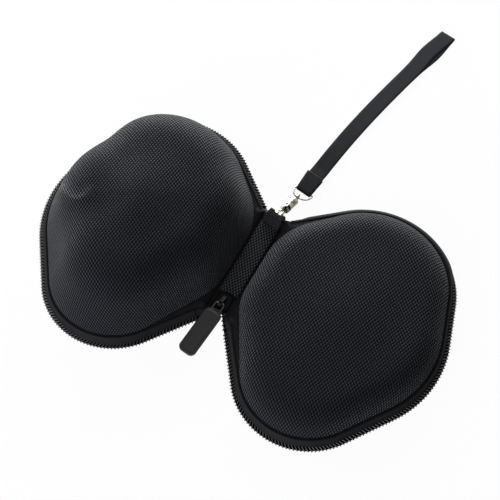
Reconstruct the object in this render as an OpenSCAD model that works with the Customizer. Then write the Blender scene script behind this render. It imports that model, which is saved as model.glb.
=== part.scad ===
// Headphone carrying case: a clamshell of two formed shells joined by a cloth spine,
// shown open on its rims, with zipper rows, slider and pull, hang loop, snap hook and wrist strap.
// Millimetres. x runs across the fold (deep half on -x, shallow half on +x), y runs along the
// fold toward the hang loop, z is up; z = 0 is the table under the rims.

/* [Rim outline of one half] */
// Radius of the rim at the two hinge ends
hinge_r = 19; // [17:1:21]
// Gap from the fold's middle to the straight of the rim
rim_gap = 1; // [0.8:0.1:1.2]
// Near end of the rim's straight beside the fold
hinge_near_y = -22; // [-24:1:-20]
// Far end of the rim's straight beside the fold
hinge_far_y = 38; // [36:1:40]
// Near corner, distance from the fold
near_x = 71; // [68:1:74]
// Near corner, distance along the fold
near_y = -41; // [-44:1:-38]
// Near corner radius
near_r = 50; // [47:1:53]
// Front arc, distance of its centre from the fold
front_x = 73; // [70:1:76]
// Front arc radius
front_r = 72; // [70:1:75]
// Far corner, distance from the fold
far_x = 76; // [73:1:79]
// Far corner, distance along the fold
far_y = 31; // [28:1:34]
// Far corner radius
far_r = 60; // [57:1:63]
// Width of the zipper skirt between the tooth tips and the shell, in plan
skirt_w = 5.8; // [5.6:0.1:6.4]
// Radius of the shell's foot beside the fold
foot_r = 62; // [58:1:66]
// Middle of that foot along the fold
foot_y = 9; // [5:1:12]

/* [Shells] */
// Height of the deep shell's shoulder above the table
deep_h = 49; // [44:1:56]
// Lean of the deep shell's wall from upright
deep_lean = 19; // [16:1:22]
// Shoulder radius of the deep shell
deep_shoulder_r = 25; // [21:1:28]
// Rise of the deep shell's crown
deep_crown = 3; // [1:0.5:6]
// Depth of the saddle between the far lobe and the front lobe, share of the height
saddle_depth = 0.21; // [0.1:0.01:0.26]
// Depth of the waist between the front lobe and the near lobe, share of the height
waist_depth = 0.09; // [0.04:0.01:0.16]
// Height of the shallow shell's shoulder above the table
shallow_h = 23; // [22:1:28]
// Lean of the shallow shell's wall from upright
shallow_lean = 24; // [22:1:28]
// Shoulder radius of the shallow shell
shallow_shoulder_r = 16; // [12:1:16]
// Rise of the shallow shell's crown
shallow_crown = 2.5; // [1:0.5:4]
// Thickness of the woven skin
skin_t = 0.9; // [0.6:0.1:1.2]
// Thickness of the formed foam
foam_t = 3; // [2:0.1:3.6]
// Thickness of the fleece lining
lining_t = 0.6; // [0.4:0.1:0.9]

/* [Fold and spine] */
// Distance between the two fold lines
spine_w = 15; // [14.5:0.1:16]
// Gap left between the two rims when the case is shut
shut_gap = 0.4; // [0.3:0.1:0.8]
// Gap from the spine strip to each fold line
fold_gap = 0.4; // [0.3:0.1:0.6]
// Near end of the spine strip
spine_near_y = -17; // [-17.4:0.1:-16]
// Far end of the spine strip
spine_far_y = 38; // [37:0.5:39]
// Thickness of the spine strip
spine_t = 1.1; // [0.9:0.1:1.3]
// Thickness of the spine's lining
spine_lining_t = 0.8; // [0.6:0.1:1]

/* [Zipper] */
// Distance from tooth to tooth
tooth_pitch = 2.3; // [2:0.1:3]
// Width of one tooth along the rim
tooth_w = 1; // [0.8:0.1:1.3]
// Length of the teeth in front of the row's back
tooth_l = 2; // [1.6:0.1:2]
// Thickness of the tooth row
tooth_t = 1.5; // [1.2:0.1:1.6]
// Width of the row's back that is sewn to the tape
row_back = 0.4; // [0.3:0.1:0.4]
// Height of the row above the table
row_lift = 0.2; // [0.2:0.05:0.3]
// Thickness of the zipper tape
tape_t = 1.1; // [0.9:0.1:1.2]
// Distance from the fold's middle at which tapes and rows end
tape_end_x = 8.5; // [8.5:0.1:10]
// Thickness of the seam binding under the shells
binding_t = 1.1; // [0.9:0.1:1.2]
// Gap from each fold line to the binding
binding_gap = 0.9; // [0.8:0.1:1.2]

/* [Slider and pull] */
// Length of the slider
slider_l = 12.5; // [12:0.1:13]
// Width of the slider at its mouth
slider_w = 10; // [9:0.2:11]
// Thickness of each slider plate
plate_t = 1.4; // [1.2:0.1:1.6]
// Height of the channel between the slider plates
channel_h = 2.4; // [2.2:0.1:2.6]
// Wire radius of the pull's link
link_r = 0.9; // [0.7:0.05:0.9]
// Gap round the link in the slider's bail
link_gap = 0.3; // [0.25:0.05:0.4]
// Height of the link's axis above the slider
link_h = 2.8; // [2.6:0.1:3]
// Distance between the link's legs
link_w = 6; // [5.6:0.1:6.4]
// Length of the pull tab
tab_l = 33; // [28:1:38]
// Width of the pull tab
tab_w = 10.4; // [9.6:0.2:12]
// Thickness of the pull tab
tab_t = 2.3; // [2.2:0.1:2.6]
// Corner radius of the pull tab
tab_corner_r = 3.6; // [3:0.1:4.4]
// Slope of the pull as it lies
tab_slope = 13; // [10:0.2:13]
// Turn of the pull toward the deep shell as it lies
tab_turn = 8; // [0:1:8]

/* [Hang loop] */
// Reach of the lining beyond the strip, where the loop is sewn on
loop_seat = 4.5; // [4:0.5:5]
// Width of the webbing of the loop
loop_w = 12; // [11:0.1:12.4]
// Thickness of the loop's webbing
loop_t = 1; // [0.9:0.05:1.1]
// Radius of the steel bar in the loop's fold
bar_r = 0.5; // [0.4:0.05:0.6]
// Length of the loop from its root to its fold
loop_l = 12.3; // [12:0.1:13]
// Turn of the loop toward the shallow shell
loop_turn = 9; // [0:0.5:9]
// Height of that bar
bar_z = 11.4; // [11.4:0.1:12.4]
// Width of the slot for the hook in the loop's fold
slot_w = 5.6; // [5.4:0.1:6.4]

/* [Snap hook, ring and strap] */
// Turn of the hook and the strap toward the shallow shell as they lie
hook_turn = 9.5; // [8:0.5:10]
// Wire radius of the hook
hook_r = 0.8; // [0.75:0.05:0.85]
// Radius of the hook's bend, at the middle of the wire
bend_r = 1.9; // [1.85:0.05:1.95]
// Roll of the hook about its own length
hook_roll = 25; // [10:1:28]
// Start of the swivel barrel along the hook
barrel_y = 11; // [10.8:0.1:11.2]
// End of the swivel barrel along the hook
barrel_end = 19.5; // [19:0.1:19.7]
// Radius of the swivel barrel
barrel_r = 3.2; // [3.1:0.1:3.6]
// Radius of the swivel's stem
stem_r = 1; // [0.9:0.05:1.1]
// Gap round the stem
stem_gap = 0.3; // [0.25:0.05:0.4]
// Radius of the gate's pin
gate_pin_r = 0.7; // [0.6:0.05:0.8]
// Gap round the gate's pin
pin_gap = 0.08; // [0.05:0.01:0.1]
// Gap between the gate and the hook
gate_gap = 0.3; // [0.25:0.05:0.35]
// Wire radius of the ring and of the swivel's eye
ring_r = 0.6; // [0.55:0.05:0.65]
// Width of the ring between the middles of its sides
ring_w = 13.6; // [13.2:0.1:14]
// Position of the swivel's eye along the hook
eye_y = 23.5; // [23.4:0.1:23.9]
// Position of the ring's straight bar along the hook
ring_bar_y = 32; // [31.6:0.1:33]
// Width of the webbing of the wrist strap
strap_w = 11.6; // [10:0.2:12]
// Thickness of one layer of the strap
strap_t = 1; // [0.8:0.1:1]
// Length of the strap from the ring to its fold
strap_l = 169; // [120:1:220]
// Sideways bow of the strap as it lies
strap_bow = 5.2; // [0:0.2:6]
// Sideways drift of the strap from the ring to its fold
strap_drift = 3.5; // [0:0.5:5]
// Spread of the strap's two layers before the fold
strap_flare = 1.6; // [0:0.2:2]
// Thickness of the strap's end piece
end_t = 0.9; // [0.8:0.1:1]
// Length of the strap's end piece
end_l = 14; // [12:1:18]

/* [Hidden] */
$fn = 32;
stations = 48;
fold_x = spine_w / 2;
foot_z = (spine_w - shut_gap) / 2;
middle = [front_x - 1, 0];

// Each arc is [x, y, radius]; the outline is the taut band round the arcs, taken in order.
rim_arcs = [
  [rim_gap + hinge_r, hinge_near_y, hinge_r],
  [near_x, near_y, near_r],
  [front_x, 0, front_r],
  [far_x, far_y, far_r],
  [rim_gap + hinge_r, hinge_far_y, hinge_r]
];
foot_arcs = [
  [fold_x + foot_r, foot_y, foot_r],
  [near_x, near_y, near_r - skirt_w],
  [front_x, 0, front_r - skirt_w],
  [far_x, far_y, far_r - skirt_w],
  [fold_x + foot_r, foot_y, foot_r]
];

// Direction in which the band leaves arc a for arc b.
function turn(a, b) =
  let (d = [b[0] - a[0], b[1] - a[1]])
  let (t = atan2(d[1], d[0]) - acos((a[2] - b[2]) / norm(d)))
  (t + 540) % 360 - 180;
// Length of the straight between arcs a and b.
function run(a, b) = sqrt(pow(b[0] - a[0], 2) + pow(b[1] - a[1], 2) - pow(a[2] - b[2], 2));
function turns(arcs) = concat([-180], [for (i = [0 : len(arcs) - 2]) turn(arcs[i], arcs[i + 1])], [180]);
function lengths(arcs, t) = [
  for (k = [0 : 2 * len(arcs) - 2])
    k % 2 == 0 ? arcs[k / 2][2] * (t[k / 2 + 1] - t[k / 2]) * PI / 180
               : run(arcs[(k - 1) / 2], arcs[(k + 1) / 2])
];
function sum(v, n) = n <= 0 ? 0 : v[n - 1] + sum(v, n - 1);
function marks(v) = [for (i = [0 : len(v)]) sum(v, i)];
// A path is [arcs, directions, lengths run at the start of each piece].
function path(arcs) = let (t = turns(arcs)) [arcs, t, marks(lengths(arcs, t))];
function whole(p) = p[2][len(p[2]) - 1];
// Point at length s along path p, moved inward by inset.
function spot(p, s, inset) =
  let (k = max([for (j = [0 : len(p[2]) - 2]) if (p[2][j] <= s) j]))
  let (u = s - p[2][k], i = floor(k / 2), a = p[0][i])
  let (t = k % 2 == 0 ? p[1][i] + u / a[2] * 180 / PI : p[1][i + 1])
  let (along = k % 2 == 0 ? 0 : u)
  [a[0] + (a[2] - inset) * cos(t) - along * sin(t), a[1] + (a[2] - inset) * sin(t) + along * cos(t)];

rim = path(rim_arcs);
foot = path(foot_arcs);
row_start = min([for (s = [0 : 0.25 : whole(rim) / 4]) if (spot(rim, s, 0)[0] >= tape_end_x) s]);
row_end = max([for (s = [whole(rim) * 0.75 : 0.25 : whole(rim)]) if (spot(rim, s, 0)[0] >= tape_end_x) s]);
row_s = [for (i = [0 : stations]) row_start + (row_end - row_start) * i / stations];
tape_edge = tooth_l + row_back;

// A form is [height, lean, shoulder radius, reach, crown, dips]; a dip is [direction, spread, depth].
deep_form = [
  deep_h, deep_lean, deep_shoulder_r, 66, deep_crown,
  [[38, 11.3, saddle_depth], [-41, 13.4, waist_depth]]
];
shallow_form = [shallow_h, shallow_lean, shallow_shoulder_r, 72, shallow_crown, []];

// Inset and height of the profile of a form at depth t below its outside: wall, shoulder, top.
function profile(f, t) =
  let (a = f[1], r = f[2], up = (f[0] - r - foot_z + r * sin(a)) / cos(a))
  let (dc = up * sin(a) + r * cos(a), start = t / cos(a))
  concat(
    [[0, foot_z]],
    [for (i = [0 : 4]) let (p = a + (90 - a) * i / 4)
      [dc - (r - t) * cos(p) - start, f[0] - r + (r - t) * sin(p)]]
  );
function gauss(x, w) = exp(-pow(x / w, 2));
function dip(f, p, q) =
  let (d = [p[0] - middle[0], p[1] - middle[1]], w = atan2(d[1], d[0]))
  1 - q * q * sum([for (g = f[5]) g[2] * gauss(w - g[0], g[1])], len(f[5]));
// Point of a form at depth t, at station i: q is the share of the way out from the middle.
function form_point(f, t, i, q, z) =
  let (p = spot(foot, whole(foot) * i / stations, t / cos(f[1])))
  [middle[0] + (p[0] - middle[0]) * q, middle[1] + (p[1] - middle[1]) * q,
   foot_z + (z - foot_z) * dip(f, p, q)];
function form_rings(f, t) =
  let (prof = profile(f, t), qt = 1 - prof[5][0] / f[3])
  concat(
    [for (c = prof) [for (i = [0 : stations - 1]) form_point(f, t, i, 1 - c[0] / f[3], c[1])]],
    [for (k = [0.55]) [for (i = [0 : stations - 1])
      form_point(f, t, i, qt * k, f[0] - t + f[4] * (1 - k * k))]]
  );
function flat(v) = [for (a = v) for (b = a) b];

module half(side) {
  mirror([side < 0 ? 1 : 0, 0, 0]) children();
}

// A layer of a shell between depths t0 and t1 below its outside.
module shell_layer(f, t0, t1) {
  n = stations;
  m = 7;
  apex0 = m * n;
  inner = m * n + 1;
  apex1 = inner + m * n;
  points = concat(
    flat(form_rings(f, t0)), [[middle[0], middle[1], f[0] - t0 + f[4]]],
    flat(form_rings(f, t1)), [[middle[0], middle[1], f[0] - t1 + f[4]]]
  );
  outer_faces = [for (r = [0 : m - 2]) for (i = [0 : n - 1]) let (j = (i + 1) % n)
    each [[r * n + i, (r + 1) * n + j, r * n + j], [r * n + i, (r + 1) * n + i, (r + 1) * n + j]]];
  outer_fan = [for (i = [0 : n - 1]) [(m - 1) * n + i, apex0, (m - 1) * n + (i + 1) % n]];
  inner_faces = [for (r = [0 : m - 2]) for (i = [0 : n - 1]) let (j = (i + 1) % n, b = inner)
    each [[b + r * n + i, b + r * n + j, b + (r + 1) * n + j],
          [b + r * n + i, b + (r + 1) * n + j, b + (r + 1) * n + i]]];
  inner_fan = [for (i = [0 : n - 1])
    [inner + (m - 1) * n + i, inner + (m - 1) * n + (i + 1) % n, apex1]];
  lip = [for (i = [0 : n - 1]) let (j = (i + 1) % n)
    each [[i, j, inner + j], [i, inner + j, inner + i]]];
  polyhedron(points, concat(outer_faces, outer_fan, inner_faces, inner_fan, lip), convexity = 8);
}

// The sewn band from the tooth row up to the shell, a bent strip that ends beside the fold.
module tape_band() {
  section = [
    [tape_edge, 0], [tape_edge + tape_t, 0], [skirt_w, foot_z - binding_t], [skirt_w, foot_z],
    [skirt_w - tape_t, foot_z], [tape_edge, 1.9]
  ];
  k = len(section);
  points = [for (s = row_s) for (c = section) let (p = spot(rim, s, c[0])) [p[0], p[1], c[1]]];
  sides = [for (i = [0 : stations - 1]) for (c = [0 : k - 1]) let (d = (c + 1) % k)
    each [[i * k + c, (i + 1) * k + d, i * k + d], [i * k + c, (i + 1) * k + c, (i + 1) * k + d]]];
  ends = [[for (c = [0 : k - 1]) c], [for (c = [k - 1 : -1 : 0]) stations * k + c]];
  polyhedron(points, concat(sides, ends), convexity = 6);
}

// A comb of coil teeth along the rim; its back follows the tape's edge.
module tooth_row() {
  count = floor((row_end - row_start - tooth_w) / tooth_pitch);
  first = row_start + (row_end - row_start - (count - 1) * tooth_pitch) / 2;
  comb = [for (j = [0 : count - 1]) let (s = first + j * tooth_pitch, w = tooth_w / 2)
    each [spot(rim, s - w, tooth_l), spot(rim, s - w, 0), spot(rim, s + w, 0), spot(rim, s + w, tooth_l)]];
  back = [for (i = [stations : -1 : 0]) spot(rim, row_s[i], tape_edge)];
  translate([0, 0, row_lift]) linear_extrude(tooth_t) polygon(concat(comb, back));
}

// The seam binding, a flat ring that carries the shell's foot and the tape.
module binding_ring() {
  edge = fold_x + binding_gap;
  outside = concat(
    [for (s = row_s) spot(rim, s, skirt_w)],
    [[edge, hinge_far_y + 10], [edge, hinge_near_y - 10]]
  );
  inset = (skin_t + foam_t + lining_t) * 1.3;
  inside = [for (i = [0 : stations - 1]) spot(foot, whole(foot) * i / stations, inset)];
  translate([0, 0, foot_z - binding_t]) linear_extrude(binding_t) difference() {
    polygon(outside);
    polygon(inside);
  }
}

module deep_skin() color("#2a2b30") half(-1) shell_layer(deep_form, 0, skin_t);
module deep_foam() color("#1b1b1d") half(-1) shell_layer(deep_form, skin_t, skin_t + foam_t);
module deep_lining() color("#3a3a3e")
  half(-1) shell_layer(deep_form, skin_t + foam_t, skin_t + foam_t + lining_t);
module deep_binding() color("#232428") half(-1) binding_ring();
module deep_tape() color("#1f2024") half(-1) tape_band();
module deep_teeth() color("#17181a") half(-1) tooth_row();
module shallow_skin() color("#2a2b30") shell_layer(shallow_form, 0, skin_t);
module shallow_foam() color("#1b1b1d") shell_layer(shallow_form, skin_t, skin_t + foam_t);
module shallow_lining() color("#3a3a3e")
  shell_layer(shallow_form, skin_t + foam_t, skin_t + foam_t + lining_t);
module shallow_binding() color("#232428") binding_ring();
module shallow_tape() color("#1f2024") tape_band();
module shallow_teeth() color("#17181a") tooth_row();

// Spine: a woven strip over a lining, both between the fold lines.
strip_z = foot_z - spine_t / 2 + 0.05;
strip_w = spine_w - 2 * fold_gap;
lining_z = strip_z - spine_lining_t;
lining_w = spine_w - 2 * binding_t - 2 * fold_gap;
module spine_strip() color("#2a2b30") {
  translate([0, spine_far_y, strip_z]) rotate([90, 0, 0]) linear_extrude(spine_far_y - spine_near_y)
    polygon([
      [-strip_w / 2, 0], [strip_w / 2, 0], [strip_w / 2, spine_t * 0.6], [strip_w / 2 - 0.6, spine_t],
      [0.6 - strip_w / 2, spine_t], [-strip_w / 2, spine_t * 0.6]
    ]);
}
module spine_lining() color("#3a3a3e") {
  translate([-lining_w / 2, spine_near_y, lining_z])
    cube([lining_w, spine_far_y - spine_near_y + loop_seat, spine_lining_t]);
}

// Shut end of the zipper: tape with a notch between the rows, and the meshed coil in the slider.
chain_t = 0.8;
chain_z = lining_z - chain_t;
chain_mid = chain_z + chain_t / 2;
chain_w = lining_w;
slider_y = hinge_near_y - 9;
plate_z = chain_mid + channel_h / 2;
module chain_end() color("#1f2024") {
  notch = [for (i = [0 : 8]) let (y = hinge_near_y - 13 * i / 8)
    [rim_gap + hinge_r - sqrt(hinge_r * hinge_r - pow(y - hinge_near_y, 2)), y]];
  translate([0, 0, chain_z]) linear_extrude(chain_t) difference() {
    translate([-chain_w / 2, hinge_near_y - 12.6]) square([chain_w, 26]);
    polygon(concat(
      [for (p = notch) p], [[chain_w, hinge_near_y - 14], [-chain_w, hinge_near_y - 14]],
      [for (i = [8 : -1 : 0]) [-notch[i][0], notch[i][1]]]
    ));
  }
  translate([-2.2, slider_y + 3.4, chain_mid - channel_h / 2])
    cube([4.4, spine_near_y - slider_y - 3.8, channel_h]);
}

module slider_plan() {
  w = slider_w / 2;
  polygon([
    [-w * 0.66, 0], [w * 0.66, 0], [w, 2], [w, slider_l * 0.5], [w * 0.76, slider_l],
    [-w * 0.76, slider_l], [-w, slider_l * 0.5], [-w, 2]
  ]);
}
module slider_body() color("#1a1a1c") {
  lip = (channel_h - chain_t) / 2 - 0.2;
  for (z = [plate_z, plate_z - channel_h - plate_t])
    translate([0, slider_y, z]) linear_extrude(plate_t) slider_plan();
  for (z = [plate_z - lip, plate_z - channel_h]) for (x = [-1, 1])
    translate([x * (slider_w / 2 - 0.45) - 0.45, slider_y + 2.2, z]) cube([0.9, slider_l * 0.5 - 2.4, lip]);
  translate([-1.1, slider_y + 0.5, plate_z - channel_h]) cube([2.2, 2.6, channel_h]);
}
bail_y = slider_y + 3.8;
bail_z = plate_z + plate_t + link_h;
module slider_bail() color("#1a1a1c") {
  low = plate_z + plate_t;
  out = link_r + link_gap + 1;
  translate([-1.2, 0, 0]) rotate([90, 0, 90]) linear_extrude(2.4) difference() {
    polygon(concat(
      [[bail_y - out * cos(20), low]],
      [for (i = [0 : 12]) let (a = 160 - 110 * i / 12) [bail_y + out * cos(a), bail_z + out * sin(a)]],
      [[bail_y + 6.4, low + 1.4], [bail_y + 6.4, low]]
    ));
    translate([bail_y, bail_z]) circle(r = link_r + link_gap);
  }
}

// The pull: a wire link moulded into a rubber tab. Its own frame has the link's axis at the origin
// and the tab along -y.
module pull_frame() {
  translate([0, bail_y, bail_z]) rotate([0, 0, -tab_turn]) rotate([tab_slope, 0, 0]) children();
}
tab_start = 5.4;
leg_in = 3;
module pull_link() color("#111112") pull_frame() {
  c = 1.4;
  w = link_w / 2;
  rotate([0, 90, 0]) translate([0, 0, c - w]) cylinder(r = link_r, h = link_w - 2 * c);
  for (s = [-1, 1]) {
    translate([s * (w - c), -c, 0]) rotate([0, 0, s > 0 ? 0 : 90])
      rotate_extrude(angle = 90) translate([c, 0]) circle(r = link_r);
    translate([s * w, -c, 0]) rotate([90, 0, 0]) cylinder(r = link_r, h = tab_start + leg_in - c);
  }
}
module tab_plan(w, l, r) {
  translate([-w / 2, -l + r]) square([w, l - 2 * r]);
  translate([-w / 2 + r, -l]) square([w - 2 * r, l]);
  for (x = [-1, 1]) for (y = [-r, r - l]) translate([x * (w / 2 - r), y]) circle(r = r);
}
module pull_tab() color("#282a2d") pull_frame() difference() {
  translate([0, -tab_start, -tab_t / 2]) linear_extrude(tab_t) tab_plan(tab_w, tab_l, tab_corner_r);
  for (s = [-1, 1]) translate([s * link_w / 2, -tab_start + 1, 0]) rotate([90, 0, 0])
    cylinder(r = link_r, h = leg_in + 1);
  translate([0, -tab_start - 7, tab_t / 2 - 0.3]) linear_extrude(1)
    tab_plan(tab_w - 2.4, tab_l - 8.5, tab_corner_r - 1.2);
}

// The hang loop: doubled webbing sewn on the lining, where it meets the strip's far end. Its fold holds a steel
// bar, and its end face has a slot for the hook. Its own frame has its origin inside the strip's end.
loop_z = strip_z;
loop_root = spine_far_y - 2;
eye_h = bend_r + hook_r + 0.3;
bar_in = loop_l - loop_t - bar_r + 0.25;
module loop_frame() {
  translate([0, loop_root, 0]) rotate([0, 0, -loop_turn]) children();
}
module hang_loop() color("#2d2e34") intersection() {
  translate([-loop_w, spine_far_y, 0]) cube([2 * loop_w, 2 * loop_l, 2 * bar_z]);
  loop_frame() difference() {
    h = eye_h + loop_t;
    c = 1.5;
    flat = bar_in - eye_h - 1;
    translate([-loop_w / 2, 0, 0]) rotate([90, 0, 90]) linear_extrude(loop_w) difference() {
      polygon([
        [0, loop_z], [4, loop_z], [flat, bar_z - h], [loop_l - c, bar_z - h], [loop_l, bar_z - h + c],
        [loop_l, bar_z + h - c], [loop_l - c, bar_z + h], [flat, bar_z + h], [3, loop_z + 2 * loop_t],
        [0, loop_z + 2 * loop_t]
      ]);
      polygon([
        [4, loop_z + loop_t], [flat, bar_z - eye_h], [loop_l - loop_t, bar_z - eye_h],
        [loop_l - loop_t, bar_z + eye_h], [flat + 0.6, bar_z + eye_h]
      ]);
      translate([bar_in, bar_z]) circle(r = bar_r);
    }
    translate([-slot_w / 2, bar_in - bar_r - 0.1, bar_z - eye_h - 0.5])
      cube([slot_w, loop_l, 2 * eye_h + 1]);
  }
}
module loop_bar() color("#b9bcc0") loop_frame() {
  translate([-loop_w / 2, bar_in, bar_z]) rotate([0, 90, 0]) cylinder(r = bar_r, h = loop_w);
}

// The hook's own frame has the loop's bar at the origin and runs along +y to the strap.
end_z = end_t + strap_t;
hook_slope = asin((bar_z - end_z) / ring_bar_y);
module hook_frame() {
  translate([bar_in * sin(loop_turn), loop_root + bar_in * cos(loop_turn), bar_z])
    rotate([0, 0, -hook_turn]) rotate([-hook_slope, 0, 0]) children();
}
module rolled() {
  rotate([0, -hook_roll, 0]) children();
}
gate_y = 10.2;
gate_z = bend_r - 0.4;
gate_t = 1.8;
head_y = 13.4;
// A flat shape in the hook's plane (along, up), w thick about the middle.
module hook_plate(w) {
  translate([-w / 2, 0, 0]) rotate([90, 0, 90]) linear_extrude(w) children();
}
module hook_body() color("#b9bcc0") hook_frame() difference() {
  union() {
    rolled() {
      rotate([0, 90, 0]) rotate([0, 0, 180]) rotate_extrude(angle = 180)
        translate([bend_r, 0]) circle(r = hook_r);
      translate([0, 0, -bend_r]) rotate([-90, 0, 0]) cylinder(r = hook_r, h = 9);
      translate([0, 0, bend_r]) rotate([-90, 0, 0]) cylinder(r = hook_r, h = 1.4);
      translate([0, 1.4, bend_r]) sphere(r = hook_r);
      hook_plate(4) polygon([
        [7.4, -bend_r - 0.7], [12, -3], [12.4, 0], [12, 3], [gate_y - 1.6, bend_r + 0.8],
        [gate_y - 1.6, 0], [8.2, 0.2 - bend_r]
      ]);
    }
    translate([0, barrel_y, 0]) rotate([-90, 0, 0]) cylinder(r = barrel_r, h = barrel_end - barrel_y);
  }
  rolled() {
    hook_plate(gate_t + 2 * gate_gap) polygon([[6, -0.2], [11.8, -0.2], [11.8, 5], [6, 5]]);
    translate([-3, gate_y, gate_z]) rotate([0, 90, 0]) cylinder(r = gate_pin_r, h = 6);
  }
  translate([0, head_y - 0.4, 0]) rotate([-90, 0, 0]) cylinder(r = 2.2, h = 2.6);
  translate([0, head_y, 0]) rotate([-90, 0, 0]) cylinder(r = stem_r + stem_gap, h = 9);
}
module hook_gate() color("#b9bcc0") hook_frame() rolled() difference() {
  union() {
    hook_plate(gate_t) {
      translate([gate_y, gate_z]) circle(r = 1.35);
      polygon([[2.8, 1.5], [gate_y, 0.3], [gate_y, 2.8], [8.6, 2.75], [2.8, 2.6]]);
    }
    for (y = [5 : 0.9 : 7.7])
      translate([-gate_t / 2, y, 2.65]) rotate([0, 90, 0]) cylinder(r = 0.4, h = gate_t, $fn = 16);
  }
  translate([-3, gate_y, gate_z]) rotate([0, 90, 0]) cylinder(r = gate_pin_r + pin_gap, h = 6);
}
module gate_pin() color("#a9acb0") hook_frame() rolled() {
  translate([-2, gate_y, gate_z]) rotate([0, 90, 0]) cylinder(r = gate_pin_r, h = 4);
}
module gate_spring() color("#8f9296") hook_frame() rolled() {
  hook_plate(1.4) polygon([[11.8, -0.2], [11.8, 0.1], [8.4, 0.1], [5.2, 0.8], [5.1, 0.5], [8.4, -0.2]]);
}
module swivel_eye() color("#b9bcc0") hook_frame() {
  translate([0, head_y, 0]) rotate([-90, 0, 0]) cylinder(r = 1.9, h = 1.6);
  translate([0, head_y, 0]) rotate([-90, 0, 0]) cylinder(r = stem_r, h = eye_y - 1.9 - head_y);
  translate([0, barrel_end + 0.3, 0]) rotate([-90, 0, 0]) cylinder(r = 1.7, h = 0.9);
  translate([0, eye_y, 0]) rotate([0, 90, 0]) rotate_extrude() translate([1.9, 0]) circle(r = ring_r);
}
module strap_ring() color("#c4c7ca") hook_frame() {
  w = ring_w / 2;
  c = 1.2;
  translate([0, eye_y + w, 0]) rotate([0, 0, 180]) rotate_extrude(angle = 180)
    translate([w, 0]) circle(r = ring_r);
  for (s = [-1, 1]) {
    translate([s * w, eye_y + w, 0]) rotate([-90, 0, 0]) cylinder(r = ring_r, h = ring_bar_y - eye_y - w - c);
    translate([s * (w - c), ring_bar_y - c, 0]) rotate([0, 0, s > 0 ? 0 : 90]) rotate_extrude(angle = 90)
      translate([c, 0]) circle(r = ring_r);
  }
  translate([c - w, ring_bar_y, 0]) rotate([0, 90, 0]) cylinder(r = ring_r, h = ring_w - 2 * c);
}

// The strap's own frame has the ring's bar above the origin and lies flat on the table.
module strap_frame() {
  reach = ring_bar_y * cos(hook_slope);
  translate([
    bar_in * sin(loop_turn) + reach * sin(hook_turn), loop_root + bar_in * cos(loop_turn) + reach * cos(hook_turn), 0
  ]) rotate([0, 0, -hook_turn]) children();
}
strap_in = 1.6;
end_w = ring_w - 2 * ring_r - 1.3;
function strap_mid(t) = strap_drift * t - strap_bow * sin(180 * t) * (1 - 0.6 * t) - 0.3;
function strap_half(t) = strap_w / 2 + strap_flare * exp(-pow((t - 0.87) / 0.08, 2));
module side_on(w) {
  translate([-w / 2, 0, 0]) rotate([90, 0, 90]) linear_extrude(w) children();
}
module strap_end() color("#2d2e34") strap_frame() intersection() {
  side_on(3 * strap_w) difference() {
    union() {
      translate([0, end_z]) circle(r = end_z);
      translate([0, 0]) square([end_l, 2 * end_z]);
    }
    translate([0, end_z]) circle(r = strap_t);
    translate([0, end_t]) square([end_l + 1, 2 * strap_t]);
  }
  translate([0, 0, -1]) linear_extrude(9) polygon([
    [-end_w / 2 - 0.3, -3], [end_w / 2 - 0.3, -3], [end_w / 2 - 0.6, end_l + 1], [-end_w / 2 - 2.6, end_l + 1]
  ]);
}
module wrist_strap() color("#2d2e34") strap_frame() intersection() {
  side_on(5 * strap_w) polygon([
    [strap_in, end_t], [end_l, end_t], [end_l + 7, 0], [strap_l, 0], [strap_l + 1.2, strap_t],
    [strap_l, 2 * strap_t], [end_l + 7, 2 * strap_t], [end_l, end_t + 2 * strap_t],
    [strap_in, end_t + 2 * strap_t]
  ]);
  translate([0, 0, -1]) linear_extrude(9) polygon(concat(
    [for (i = [0 : 24]) let (t = i / 24) [strap_mid(t) + strap_half(t), t * (strap_l + 2)]],
    [for (i = [24 : -1 : 0]) let (t = i / 24) [strap_mid(t) - strap_half(t), t * (strap_l + 2)]]
  ));
}

/* [Nodes] */
// Which piece is built

deep_skin();
deep_foam();
deep_lining();
deep_binding();
deep_tape();
deep_teeth();
shallow_skin();
shallow_foam();
shallow_lining();
shallow_binding();
shallow_tape();
shallow_teeth();
spine_strip();
spine_lining();
chain_end();
slider_body();
slider_bail();
pull_link();
pull_tab();
hang_loop();
loop_bar();
hook_body();
hook_gate();
gate_pin();
gate_spring();
swivel_eye();
strap_ring();
strap_end();
wrist_strap();
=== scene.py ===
"""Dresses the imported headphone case: woven shells, zipper, spine, pull, hook and wrist strap."""

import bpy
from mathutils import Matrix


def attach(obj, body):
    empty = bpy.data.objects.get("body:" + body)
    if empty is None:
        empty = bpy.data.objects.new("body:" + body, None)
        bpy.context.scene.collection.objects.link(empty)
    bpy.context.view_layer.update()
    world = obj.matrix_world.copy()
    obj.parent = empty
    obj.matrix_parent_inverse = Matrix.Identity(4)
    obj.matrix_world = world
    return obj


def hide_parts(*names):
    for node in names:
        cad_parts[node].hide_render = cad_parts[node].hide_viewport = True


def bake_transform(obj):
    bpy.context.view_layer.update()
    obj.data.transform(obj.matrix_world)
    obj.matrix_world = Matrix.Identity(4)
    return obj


bl_info = {
    "name": "Headphone Case Dresser",
    "version": (1, 0, 0),
    "blender": (4, 5, 0),
    "location": "View3D > Sidebar > Case",
    "description": "Builds the visible pieces of a clamshell headphone case on its packed frame",
    "category": "Object",
}

import bmesh
import bpy
import numpy as np
from mathutils import Vector

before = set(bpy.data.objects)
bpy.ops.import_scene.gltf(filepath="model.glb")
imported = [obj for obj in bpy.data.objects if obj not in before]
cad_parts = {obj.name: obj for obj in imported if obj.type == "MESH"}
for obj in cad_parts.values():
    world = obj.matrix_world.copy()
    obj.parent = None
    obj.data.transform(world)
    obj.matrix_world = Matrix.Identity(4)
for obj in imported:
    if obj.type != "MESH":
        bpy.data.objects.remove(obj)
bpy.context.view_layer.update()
MM = 0.001


# Sizes and colours


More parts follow.
